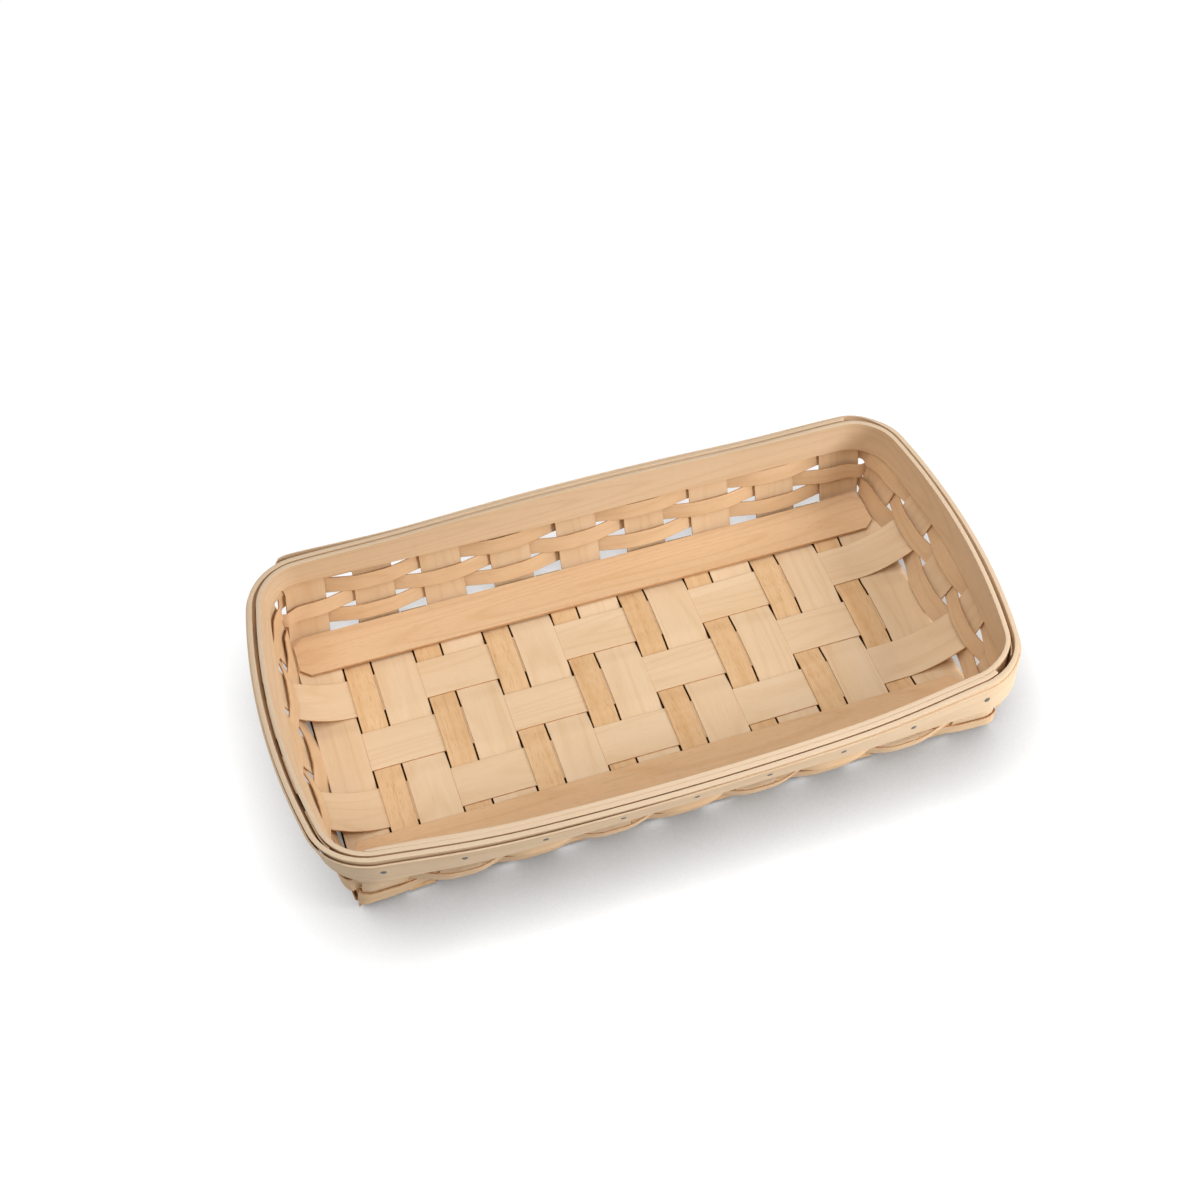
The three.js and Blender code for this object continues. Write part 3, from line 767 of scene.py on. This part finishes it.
class Flow:
    """A value on its way through a finish. Sums, differences, products and powers add their Math nodes."""

    def __init__(self, finish, socket):
        self.finish = finish
        self.socket = socket

    def _math(self, operation, first, second):
        return self.finish.node("ShaderNodeMath", {"operation": operation}, {0: first, 1: second})

    def __add__(self, other):
        return self._math("ADD", self, other)

    __radd__ = __add__

    def __sub__(self, other):
        return self._math("SUBTRACT", self, other)

    def __rsub__(self, other):
        return self._math("SUBTRACT", other, self)

    def __mul__(self, other):
        return self._math("MULTIPLY", self, other)

    __rmul__ = __mul__

    def __pow__(self, other):
        return self._math("POWER", self, other)

    def __rpow__(self, other):
        return self._math("POWER", other, self)


class Finish:
    """The nodes of a material or world.

    node() adds one: its settings first, then its sockets' values or links."""

    def __init__(self, owner):
        self.owner = owner
        owner.use_nodes = True
        self.tree = owner.node_tree
        self.tree.nodes.clear()

    def node(self, kind, settings=None, sockets=None, output=0):
        made = self.tree.nodes.new(kind)
        for key, value in (settings or {}).items():
            if key == "stops":
                ramp = made.color_ramp.elements
                while len(ramp) < len(value):
                    ramp.new(0.5)
                for stop, (position, shade) in zip(ramp, value):
                    stop.position = position
                    stop.color = (shade, shade, shade, 1.0)
            else:
                setattr(made, key, value)
        for key, value in (sockets or {}).items():
            if isinstance(value, Flow):
                self.tree.links.new(value.socket, made.inputs[key])
            else:
                made.inputs[key].default_value = value
        return Flow(self, made.outputs[output]) if made.outputs else None

    def scaled(self, vector, scale):
        """A vector with its three parts multiplied by those of the scale."""
        return self.node("ShaderNodeVectorMath", {"operation": "MULTIPLY"}, {0: vector, 1: scale})

    def noise(self, vector, scale, detail=2.0, roughness=0.5, distortion=0.0):
        """Noise from 0 to 1 on a vector whose parts are scaled first."""
        sockets = {"Vector": self.scaled(vector, scale), "Scale": 1.0, "Detail": detail}
        sockets.update({"Roughness": roughness, "Distortion": distortion})
        return self.node("ShaderNodeTexNoise", {}, sockets)

    def ramp(self, value, stops):
        """A value through a ramp of grey stops."""
        return self.node("ShaderNodeValToRGB", {"stops": stops}, {0: value})

    def blend(self, factor, first, second):
        """Two colours mixed by a factor."""
        settings = {"data_type": "RGBA", "blend_type": "MIX", "clamp_factor": True}
        return self.node("ShaderNodeMix", settings, {0: factor, 6: first, 7: second}, output=2)


def tint(red, green, blue):
    """A colour given as it shows on a screen, 0 to 255, as linear parts."""
    shown = np.array([red, green, blue]) / 255.0
    linear = np.where(shown <= 0.04045, shown / 12.92, ((shown + 0.055) / 1.055) ** 2.4)
    return (*(float(part) for part in linear), 1.0)


# Figure of the wood: the scales of its noises along, across and through a strip, for each millimetre
GROWTH_SCALE = (0.0032, 0.035, 0.04)
GROWTH_LINES = 80.0
LINE_SHARPNESS = 4.0
BROAD_SCALE = (0.006, 0.06, 0.06)
FIBRE_SCALE = (0.035, 2.6, 2.6)
FLECK_SCALE = (0.2, 2.4, 2.4)
FLECK_STOPS = [(0.58, 0.0), (0.72, 1.0)]
CURL_SCALE = (0.28, 0.1, 0.2)
STREAK_SCALE = (0.016, 0.32, 0.3)
STREAK_STOPS = [(0.66, 0.0), (0.78, 1.0)]
DASH_SCALE = (0.35, 3.5, 3.5)
DASH_STOPS = [(0.45, 0.0), (0.6, 1.0)]
BROAD_DEPTH = 1.1
FIBRE_DEPTH = 0.6
EVEN_DEPTH = 0.38
EDGE_COVER = 0.9
DASH_COVER = 0.35
FIBRE_ROUGH = 0.16
EVEN_ROUGH = 0.5
FIBRE_RELIEF = 0.5
FLECK_RELIEF = 0.3
LINE_RELIEF = 0.2
WOOD_BUMP = {"Strength": 0.15, "Distance": 0.0002}
WOOD_SHEEN = 0.3
MINERAL_GREY = tint(150, 122, 98)
# The brown edge is partly the wood's own darker cut edge and partly painted shade, for the thin shadow lines
# along the edges of the splints and weavers
BROWN_EDGE_AND_SHADE = tint(176, 124, 78)
TAN_EDGE = tint(196, 148, 102)
PALE_EDGE = tint(221, 196, 167)


def wood(name, pale, deep, vein, edge, figure, mottle, fleck, streak):
    """Thin sliced wood: contour lines of the growth, fine fibres, short flecks, soft mottling, grey streaks.

    Everything is read at the strip's own flat place, along, across and through it, so the figure runs with
    it. The cut edges take the edge colour, broken by short dashes of the grain."""
    finish = Finish(bpy.data.materials.new(name))
    place = finish.node("ShaderNodeAttribute", {"attribute_name": "flat_place"}, output=1)
    cut = finish.node("ShaderNodeAttribute", {"attribute_name": "cut_edge"}, output=2)

    growth = finish.noise(place, GROWTH_SCALE, detail=1.5, distortion=0.3)
    lines = finish.node("ShaderNodeMath", {"operation": "SINE"}, {0: growth * GROWTH_LINES})
    lines = (lines * 0.5 + 0.5) ** LINE_SHARPNESS
    broad = finish.noise(place, BROAD_SCALE, detail=2.0)
    fibre = finish.noise(place, FIBRE_SCALE, detail=3.0, roughness=0.6)
    short = finish.noise(place, FLECK_SCALE, detail=1.0)
    short = finish.ramp(short, FLECK_STOPS)
    curl = finish.noise(place, CURL_SCALE, detail=2.0)
    mineral = finish.noise(place, STREAK_SCALE, detail=2.0, distortion=0.4)
    mineral = finish.ramp(mineral, STREAK_STOPS)
    dash = finish.noise(place, DASH_SCALE, detail=1.0)
    dash = finish.ramp(dash, DASH_STOPS)

    depth = lines * figure + (broad - 0.5) * BROAD_DEPTH + (fibre - 0.5) * FIBRE_DEPTH
    depth = depth + (curl - 0.5) * mottle + EVEN_DEPTH
    colour = finish.blend(depth, pale, deep)
    colour = finish.blend(short * fleck, colour, vein)
    colour = finish.blend(mineral * streak, colour, MINERAL_GREY)
    # on the splints and weavers the brown edge colour is partly painted shade, for the shadow lines along
    # their edges
    colour = finish.blend(cut * (EDGE_COVER - dash * DASH_COVER), colour, edge)
    height = fibre * FIBRE_RELIEF + short * FLECK_RELIEF + lines * LINE_RELIEF
    bump = finish.node("ShaderNodeBump", {}, {**WOOD_BUMP, "Height": height})
    rough = fibre * FIBRE_ROUGH + EVEN_ROUGH
    sockets = {"Base Color": colour, "Roughness": rough, "Normal": bump, "Specular IOR Level": WOOD_SHEEN}
    shader = finish.node("ShaderNodeBsdfPrincipled", {}, sockets)
    finish.node("ShaderNodeOutputMaterial", {}, {0: shader})
    return finish.owner


# Steel of the tacks, with the scale of its noise for each metre
STEEL_SCALE = (900.0, 900.0, 900.0)
DARK_STEEL = tint(82, 82, 80)
PALE_STEEL = tint(136, 136, 134)
STEEL_METALLIC = 0.5
STEEL_ROUGH_RANGE = 0.2
STEEL_ROUGH_LEAST = 0.45


def tack_steel():
    """Dull grey steel of the tack heads, with a soft change of tone."""
    finish = Finish(bpy.data.materials.new("tack_steel"))
    place = finish.node("ShaderNodeTexCoord", {}, {}, output=3)
    tone = finish.noise(place, STEEL_SCALE, detail=2.0)
    colour = finish.blend(tone, DARK_STEEL, PALE_STEEL)
    rough = tone * STEEL_ROUGH_RANGE + STEEL_ROUGH_LEAST
    sockets = {"Base Color": colour, "Roughness": rough, "Metallic": STEEL_METALLIC}
    shader = finish.node("ShaderNodeBsdfPrincipled", {}, sockets)
    finish.node("ShaderNodeOutputMaterial", {}, {0: shader})
    return finish.owner


pale_maple = wood(
    "pale_maple", tint(237, 210, 176), tint(222, 186, 143), tint(198, 152, 106), BROWN_EDGE_AND_SHADE,
    figure=0.24, mottle=0.12, fleck=0.12, streak=0.05,
)
tan_maple = wood(
    "tan_maple", tint(232, 196, 152), tint(214, 168, 116), tint(178, 124, 74), BROWN_EDGE_AND_SHADE,
    figure=0.25, mottle=0.55, fleck=0.4, streak=0.05,
)
far_board_maple = wood(
    "far_board_maple", tint(232, 198, 158), tint(216, 174, 130), tint(172, 124, 86), TAN_EDGE,
    figure=0.35, mottle=0.15, fleck=0.2, streak=0.25,
)
near_board_maple = wood(
    "near_board_maple", tint(230, 192, 150), tint(214, 170, 124), tint(170, 122, 84), TAN_EDGE,
    figure=0.35, mottle=0.15, fleck=0.2, streak=0.3,
)
weaver_maple = wood(
    "weaver_maple", tint(236, 204, 165), tint(218, 180, 137), tint(182, 134, 90), BROWN_EDGE_AND_SHADE,
    figure=0.25, mottle=0.15, fleck=0.15, streak=0.1,
)
band_maple = wood(
    "band_maple", tint(236, 209, 176), tint(220, 188, 150), tint(186, 142, 102), PALE_EDGE,
    figure=0.3, mottle=0.12, fleck=0.15, streak=0.1,
)

for i in range(WIDE_COUNT):
    steps = CORNER_ACROSS if i in (0, WIDE_COUNT - 1) else SPLINT_ACROSS
    strip_piece(
        f"wide_splint_{i + 1}", wide_splint(i), WIDE_WIDTH, SPLINT_THICKNESS, steps,
        pale_maple, WIDE_SEED + i,
    )
for i in range(WIDE_COUNT - 1):
    strip_piece(
        f"filler_splint_{i + 1}", filler_splint(i), FILLER_WIDTH, SPLINT_THICKNESS, FILLER_ACROSS,
        tan_maple, FILLER_SEED + i,
    )
for j in range(ROW_COUNT):
    steps = CORNER_ACROSS if j in (0, ROW_COUNT - 1) else SPLINT_ACROSS
    strip_piece(
        f"lengthwise_splint_{j + 1}", lengthwise_splint(j), ROW_WIDTH, SPLINT_THICKNESS, steps,
        pale_maple, ROW_SEED + j,
    )
strip_piece(
    "far_side_board", side_board(1.0, *FAR_BOARD_TAPER), BOARD_WIDTH, BOARD_THICKNESS, BOARD_ACROSS,
    far_board_maple, BOARD_SEED,
)
strip_piece(
    "near_side_board", side_board(-1.0, *NEAR_BOARD_TAPER), BOARD_WIDTH, BOARD_THICKNESS, BOARD_ACROSS,
    near_board_maple, BOARD_SEED + 1,
)
for row in range(WEAVER_COUNT):
    strip_piece(
        f"weaver_{row + 1}", weaver(row), WEAVER_WIDTH, WEAVER_THICKNESS, WEAVER_ACROSS,
        weaver_maple, WEAVER_SEED + row,
    )
BAND_MIDDLE = BAND_BOTTOM + BAND_HEIGHT / 2
FACING_MIDDLE = FACING_TOP - FACING_HEIGHT / 2
INNER_LAST = TURN + NEAR_SIDE + 1.0 + LAP_INTO_CORNER
strip_piece(
    "inner_rim_band", rim_band(INNER_FIRST, INNER_LAST, BAND_MIDDLE, inner_offset, rise_at=inner_rise),
    BAND_HEIGHT, BAND_THICKNESS, BAND_ACROSS, band_maple, BAND_SEED,
    share=inner_share(even_laps(INNER_FIRST, INNER_LAST, BAND_MIDDLE, band_lean, BAND_STEP)),
)
strip_piece(
    "outer_rim_band", rim_band(OUTER_FIRST, -OUTER_LAST, BAND_MIDDLE, outer_offset, BAND_END_CLIP),
    BAND_HEIGHT, BAND_THICKNESS, BAND_ACROSS, band_maple, BAND_SEED + 1,
    share=outer_share(-even_laps(OUTER_FIRST, -OUTER_LAST, BAND_MIDDLE, band_lean, BAND_STEP)),
)
strip_piece(
    "facing_band", rim_band(-1.0 - FACING_START, -SPRING_START, FACING_MIDDLE, facing_offset),
    FACING_HEIGHT, FACING_THICKNESS, BAND_ACROSS, band_maple, BAND_SEED + 2,
)


def tack_heads():
    """Places of the tack heads on the facing band, one at each stake of the near side and of the ends.

    Returns the seats with their directions beside, above and out, and the rings of one dome: a quarter
    ellipse to be turned round the wall's normal."""
    sides = [column_x(i) + stray for i, stray in enumerate(TACK_STRAYS)]
    ends = [row_y(j) for j in range(ROW_COUNT)]
    laps = [NEAR_SIDE - x / STAKE_SIDE_END for x in sides]
    laps += [RIGHT_END - y / STAKE_END_END for y in ends]
    laps += [LEFT_END + y / STAKE_END_END for y in ends]
    laps = np.array(laps)
    rise = np.full_like(laps, TACK_HEIGHT)
    # the place on the band's face, and the face's own directions by small differences
    offset = facing_offset(TURN - laps) + FACING_THICKNESS / 2
    seat = round_wall(laps, rise, offset, band_lean, at_stakes=True)
    beside = round_wall(laps + FINE_STEP, rise, offset, band_lean, at_stakes=True) - seat
    above = round_wall(laps, rise + FINE_STEP, offset, band_lean, at_stakes=True) - seat
    beside /= np.linalg.norm(beside, axis=1, keepdims=True)
    above /= np.linalg.norm(above, axis=1, keepdims=True)
    out = np.cross(above, beside)
    out *= np.sign(np.einsum("ij,ij->i", out, seat * [1.0, 1.0, 0.0]))[:, None]
    rings = np.linspace(0.0, np.pi / 2, TACK_RINGS + 1)[:-1]
    turns = np.linspace(0.0, 2 * np.pi, TACK_TURNS, endpoint=False)
    across = TACK_RADIUS * np.cos(rings)[:, None, None]
    rise_up = TACK_DOME * np.sin(rings)[:, None, None]
    return seat, beside, above, out, across, rise_up, turns


def make_tacks():
    """All the tack heads as one piece: the rings of each dome, closed at the top and the foot by quads."""
    seat, beside, above, out, across, rise_up, turns = tack_heads()
    ring = np.cos(turns)[None, :, None, None] * beside + np.sin(turns)[None, :, None, None] * above
    points = seat + across[..., None] * ring + rise_up[..., None] * out
    rings, around, count = points.shape[:3]
    index = np.arange(rings * around * count).reshape(rings, around, count)
    after = np.roll(index, -1, axis=1)
    sides = np.stack([index[:-1], after[:-1], after[1:], index[1:]], axis=-1).reshape(-1, 4)
    half = around // 2
    top = index[-1]
    one = np.arange(half - 1)
    other = around - 1 - one
    caps = np.stack([top[one], top[one + 1], top[other - 1], top[other]], axis=-1).reshape(-1, 4)
    low = index[0]
    feet = np.stack([low[one], low[other], low[other - 1], low[one + 1]], axis=-1).reshape(-1, 4)
    flat = warp(points.reshape(-1, 3))
    quads = facing_out(flat, np.concatenate([sides, caps, feet]))
    smooth_faces = np.ones(len(quads), bool)
    piece = put_mesh("rim_tacks", flat, quads, smooth_faces, flat, np.zeros(len(flat)), tack_steel())
    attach(piece, "root")


make_tacks()


# Camera, at the photograph's viewing angle
CAMERA_PLACE = (-151.415, -460.083, 689.684)
CAMERA_PITCH = 37.7216
CAMERA_YAW = -16.7619
CAMERA_ROLL = -1.5841
CAMERA_LENS = 55.527
CAMERA_SENSOR = 36.0
CAMERA_CLIP_START = 0.01

camera_data = bpy.data.cameras.new("camera")
camera_data.sensor_width = CAMERA_SENSOR
camera_data.lens = CAMERA_LENS
camera_data.clip_start = CAMERA_CLIP_START
camera = bpy.data.objects.new("camera", camera_data)
turn = Matrix.Rotation(math.radians(CAMERA_YAW), 4, "Z")
turn = turn @ Matrix.Rotation(math.radians(CAMERA_PITCH), 4, "X")
turn = turn @ Matrix.Rotation(math.radians(CAMERA_ROLL), 4, "Z")
camera.rotation_euler = turn.to_euler()
camera.location = [part * MM for part in CAMERA_PLACE]
bpy.context.scene.collection.objects.link(camera)
bpy.context.scene.camera = camera


# Floor, lamps and surroundings, in metres and watts
FLOOR_HALF = 6.0
FLOOR_DROP = 0.0002
FLOOR_GLOW = 0.87
FLOOR_SHADE = 0.24
PLAIN_FLOOR = 0.8
SKY_REACH = 0.038
SKY_SAMPLES = 4
SKY_TILT = (-0.15, 0.4, 0.904)
# Under the base the floor seen directly is painted a dark brown shade, for the shadow beneath the basket in
# the gaps of the weave
UNDER_BASE_HALF_LENGTH = 0.1425
UNDER_BASE_HALF_WIDTH = 0.066
UNDER_BASE_MIDDLE = 0.004
UNDER_BASE_PAINTED_SHADE = tint(70, 46, 30)
LAMP_AIM = (0.0, 0.0, 0.02)
TOP_LAMP_PLACE = (-0.3, -0.05, 1.4)
TOP_LAMP_SIZE = 1.6
TOP_LAMP_POWER = 15.8
LOW_LAMP_PLACE = (0.6, -0.45, 0.4)
LOW_LAMP_SIZE = 0.3
LOW_LAMP_POWER = 5.0
FILL_STRENGTH = 0.12


def grey(level):
    """A colour with three equal linear parts."""
    return (level, level, level, 1.0)


def white_floor():
    """White that keeps shadows: seen directly it is part glow, part plain white, and painted dark shade under
    the base.

    The glow stands for a wide soft sky that leans to the back and a little to the left, so it is dimmed where
    the basket covers part of that sky, mostly in front. Other rays than the camera's meet a plain pale
    floor."""
    finish = Finish(bpy.data.materials.new("white_floor"))
    seen = finish.node("ShaderNodeLightPath", {}, {}, output=0)
    place = finish.node("ShaderNodeTexCoord", {}, {}, output=3)
    along = finish.node("ShaderNodeSeparateXYZ", {}, {0: place}, output=0)
    across = finish.node("ShaderNodeSeparateXYZ", {}, {0: place}, output=1)
    less = {"operation": "LESS_THAN"}
    from_middle = across - UNDER_BASE_MIDDLE
    in_length = finish.node("ShaderNodeMath", less, {0: along**2.0, 1: UNDER_BASE_HALF_LENGTH**2})
    in_width = finish.node("ShaderNodeMath", less, {0: from_middle**2.0, 1: UNDER_BASE_HALF_WIDTH**2})
    under = in_length * in_width
    # painted shade: under the base the floor is dark brown with no glow, standing in for the shadow beneath
    # the basket
    shade = finish.blend(under, grey(FLOOR_SHADE), UNDER_BASE_PAINTED_SHADE)
    glow = finish.blend(under, grey(FLOOR_GLOW), grey(0.0))
    plain = finish.node("ShaderNodeBsdfDiffuse", {}, {"Color": grey(PLAIN_FLOOR)})
    white = finish.node("ShaderNodeBsdfDiffuse", {}, {"Color": shade})
    # the direction is linked, because the next node reads no plain value as its Normal
    lean = finish.node("ShaderNodeCombineXYZ", {}, dict(enumerate(SKY_TILT)))
    sockets = {"Color": glow, "Distance": SKY_REACH, "Normal": lean}
    sky = finish.node("ShaderNodeAmbientOcclusion", {"samples": SKY_SAMPLES}, sockets)
    light = finish.node("ShaderNodeEmission", {}, {"Color": sky})
    bright = finish.node("ShaderNodeAddShader", {}, {0: white, 1: light})
    mixed = finish.node("ShaderNodeMixShader", {}, {0: seen, 1: plain, 2: bright})
    finish.node("ShaderNodeOutputMaterial", {}, {0: mixed})
    return finish.owner


floor_mesh = bpy.data.meshes.new("floor")
corners = [(-1, -1), (1, -1), (1, 1), (-1, 1)]
corners = [(x * FLOOR_HALF, y * FLOOR_HALF, -FLOOR_DROP) for x, y in corners]
floor_mesh.from_pydata(corners, [], [(0, 1, 2, 3)])
floor_mesh.materials.append(white_floor())
floor = bpy.data.objects.new("floor", floor_mesh)
bpy.context.scene.collection.objects.link(floor)


def soft_lamp(name, place, aim, size, power):
    """A square soft lamp that faces a point."""
    data = bpy.data.lights.new(name, "AREA")
    data.shape = "SQUARE"
    data.size = size
    data.energy = power
    lamp = bpy.data.objects.new(name, data)
    direction = np.array(place) - np.array(aim)
    direction /= np.linalg.norm(direction)
    side = np.cross([0.0, 1.0, 0.0], direction)
    side /= np.linalg.norm(side)
    up = np.cross(direction, side)
    matrix = Matrix(np.column_stack([side, up, direction]).tolist()).to_4x4()
    lamp.rotation_euler = matrix.to_euler()
    lamp.location = place
    bpy.context.scene.collection.objects.link(lamp)


soft_lamp("top_lamp", TOP_LAMP_PLACE, LAMP_AIM, TOP_LAMP_SIZE, TOP_LAMP_POWER)
soft_lamp("low_right_lamp", LOW_LAMP_PLACE, LAMP_AIM, LOW_LAMP_SIZE, LOW_LAMP_POWER)


def studio_world():
    """An even fill for the lighting; seen directly, in gloss or through, the surroundings are white."""
    studio = Finish(bpy.data.worlds.new("studio"))
    seen = studio.node("ShaderNodeLightPath", {}, {}, output="Is Camera Ray")
    gloss = studio.node("ShaderNodeLightPath", {}, {}, output="Is Glossy Ray")
    through = studio.node("ShaderNodeLightPath", {}, {}, output="Is Transmission Ray")
    shown = studio.node("ShaderNodeMath", {"operation": "MAXIMUM"}, {0: seen, 1: gloss})
    shown = studio.node("ShaderNodeMath", {"operation": "MAXIMUM"}, {0: shown, 1: through})
    fill = studio.node("ShaderNodeBackground", {}, {"Color": grey(1.0), "Strength": FILL_STRENGTH})
    white = studio.node("ShaderNodeBackground", {}, {"Color": grey(1.0), "Strength": 1.0})
    mixed = studio.node("ShaderNodeMixShader", {}, {0: shown, 1: fill, 2: white})
    studio.node("ShaderNodeOutputWorld", {}, {0: mixed})
    return studio.owner


bpy.context.scene.world = studio_world()

bpy.context.scene.view_settings.view_transform = "Standard"
